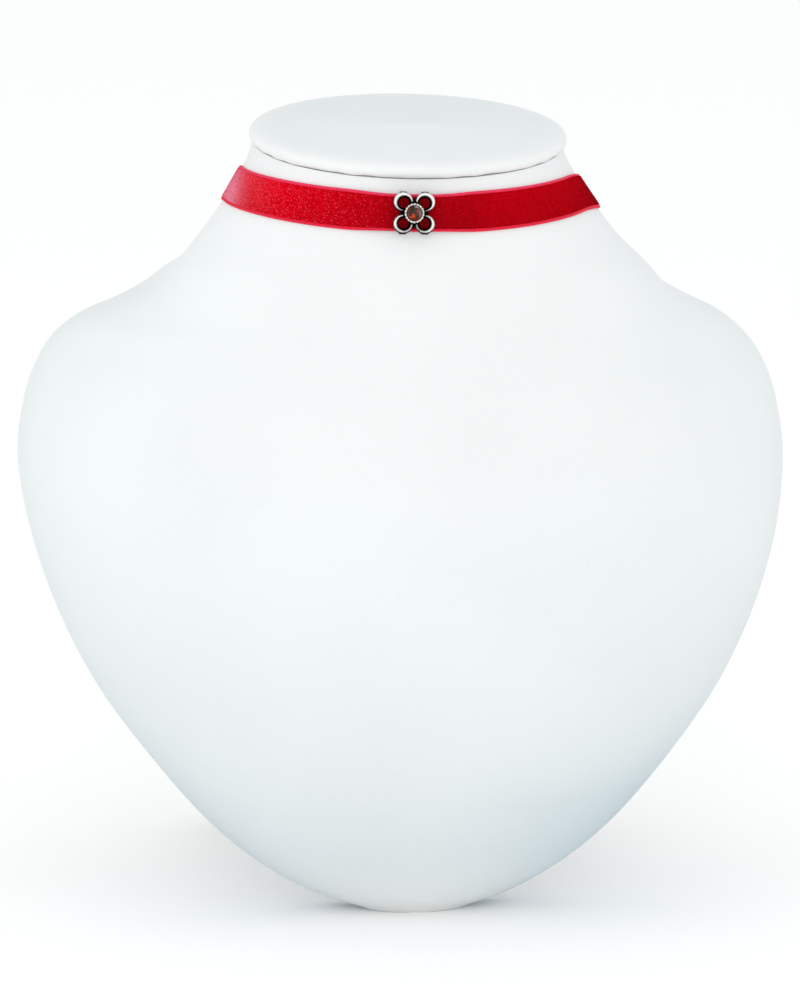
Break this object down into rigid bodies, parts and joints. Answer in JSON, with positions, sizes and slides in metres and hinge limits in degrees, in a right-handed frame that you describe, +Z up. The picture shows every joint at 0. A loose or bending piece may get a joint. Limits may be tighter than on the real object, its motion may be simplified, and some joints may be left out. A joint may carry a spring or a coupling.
{
  "type": "velvet ribbon choker necklace on a neck bust",
  "caption": "Velvet ribbon choker with a cast flower slider and a round cut stone, round the neck of a plain free-standing display bust.",
  "frame": {"origin": "on the floor, under the middle of the whole piece's bounding box", "axes": "+Z up, the bust faces -Y, +X towards the viewer's right"},
  "size_m": [0.2388, 0.1474, 0.2447],
  "materials": {
    "leatherette": "white leatherette with a very fine grain",
    "covered_board": "stiff board covered in white leatherette",
    "velvet": "red velvet, short pile, woven selvedges",
    "silver": "antique silver, black in the recesses",
    "stone": "faceted red-brown stone"
  },
  "bodies": {
    "root": {"bust_body": "leatherette", "neck_cap": "leatherette", "easel_strut": "covered_board", "velvet_ribbon": "velvet", "back_clasp": "silver", "flower_slider": "silver", "centre_stone": "stone"}
  },
  "joints": []
}
